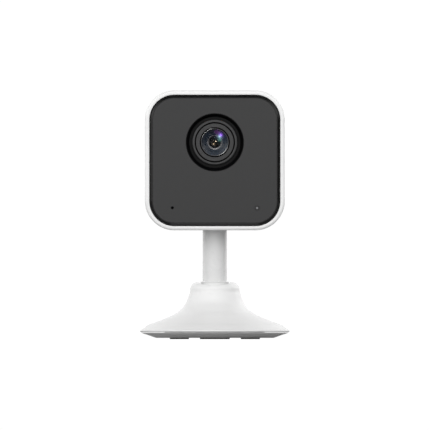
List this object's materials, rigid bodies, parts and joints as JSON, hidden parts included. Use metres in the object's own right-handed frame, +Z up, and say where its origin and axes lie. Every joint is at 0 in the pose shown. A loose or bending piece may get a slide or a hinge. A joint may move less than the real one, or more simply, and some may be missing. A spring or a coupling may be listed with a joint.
{
  "type": "security camera",
  "caption": "Desk security camera: rounded square head with a dark front panel and round lens, on a short stem that tilts in a flared round base that swivels.",
  "frame": {"origin": "on the base's axis, in the plane of the rubber feet that it stands on", "axes": "+Z up along the stem, the lens looks along -Y, +X to the right of someone who faces the lens"},
  "size_m": [0.0672, 0.0672, 0.112],
  "materials": {
    "white_plastic": "satin gloss moulded plastic",
    "panel_dark": "infrared-clear dark plastic, fine satin",
    "lens_black": "polished black",
    "lens_grey": "fine matt black-grey anodised look",
    "lens_glass": "coated optical glass",
    "black_plastic": "matt moulded plastic",
    "base_grey": "matt dark grey moulded plastic",
    "foot_rubber": "matt rubber",
    "seal_foam": "closed-cell foam",
    "steel": "zinc plated",
    "magnet": "nickel plated magnet",
    "glide_white": "low-friction plastic",
    "cup_plastic": "acetal",
    "board_green": "solder mask",
    "chip_black": "moulded package",
    "shield_metal": "tin plated",
    "port_metal": "plated shell",
    "clear_pipe": "clear light guide",
    "copper_flex": "amber flexible circuit",
    "speaker_frame": "paper cone in a plastic frame",
    "coil_copper": "enamelled copper wire",
    "led_clear": "clear epoxy",
    "sensor_black": "sensor die under glass"
  },
  "bodies": {
    "foot": {"bottom_cover": "base_grey", "rubber_feet": "foot_rubber", "base_magnet": "magnet", "hub_washer": "steel", "hub_screw": "steel", "glide_ring": "glide_white"},
    "bell": {"base_shell": "white_plastic", "base_plate": "steel", "plate_screws": "steel", "friction_cup": "cup_plastic", "disc_spring": "steel", "spring_retainer": "steel", "retainer_screws": "steel"},
    "head": {"ball": "white_plastic", "stem": "white_plastic", "stem_clamp": "black_plastic", "stem_pin": "steel", "clamp_screws": "steel", "front_shell": "white_plastic", "front_panel": "panel_dark", "panel_gasket": "seal_foam", "rear_cover": "white_plastic", "housing_screws": "steel", "main_board": "board_green", "processor": "chip_black", "wifi_shield": "shield_metal", "usb_port": "port_metal", "card_socket": "port_metal", "reset_switch": "chip_black", "speaker": "speaker_frame", "speaker_gasket": "seal_foam", "wifi_antenna": "copper_flex", "sensor_board": "board_green", "image_sensor": "sensor_black", "board_connector": "chip_black", "lens_holder": "black_plastic", "holder_screws": "steel", "lens_barrel": "lens_grey", "front_element": "lens_glass", "lens_baffle": "lens_black", "middle_element": "lens_glass", "lens_spacer": "lens_black", "rear_element": "lens_glass", "lens_ring": "lens_grey", "lens_cone": "lens_black", "filter_coil": "coil_copper", "ir_board": "board_green", "ir_leds": "led_clear", "io_board": "board_green", "microphone": "shield_metal", "mic_gasket": "seal_foam", "status_led": "led_clear", "light_pipe": "clear_pipe", "board_screws": "steel"},
    "filter": {"filter_carriage": "black_plastic", "filter_windows": "lens_glass"},
    "filter_rotor": {"filter_lever": "black_plastic"},
    "reset": {"reset_button": "base_grey", "switch_plunger": "chip_black"}
  },
  "joints": [
    {"name": "base_swivel", "type": "hinge", "parent": "foot", "child": "bell", "pos_m": [0, 0, 0.0036], "axis": [0, 0, 1], "continuous": true},
    {"name": "head_tilt", "type": "hinge", "parent": "bell", "child": "head", "pos_m": [0, 0, 0.019], "axis": [1, 0, 0], "range_deg": [-90, 8]},
    {"name": "filter_shift", "type": "slide", "parent": "head", "child": "filter", "axis": [1, 0, 0], "range_m": [0, 0.0066]},
    {"name": "filter_turn", "type": "hinge", "parent": "head", "child": "filter_rotor", "pos_m": [0, -0.0063, 0.09974], "axis": [0, -1, 0], "range_deg": [0, 66.76]},
    {"name": "reset_press", "type": "slide", "parent": "head", "child": "reset", "axis": [0, -1, 0], "range_m": [0, 0.0004], "stiffness_N_per_m": 2500, "springref_m": -0.0001}
  ],
  "couplings": [
    {"joint": "filter_turn", "follows": "filter_shift", "rad_per_m": 176.47}
  ]
}
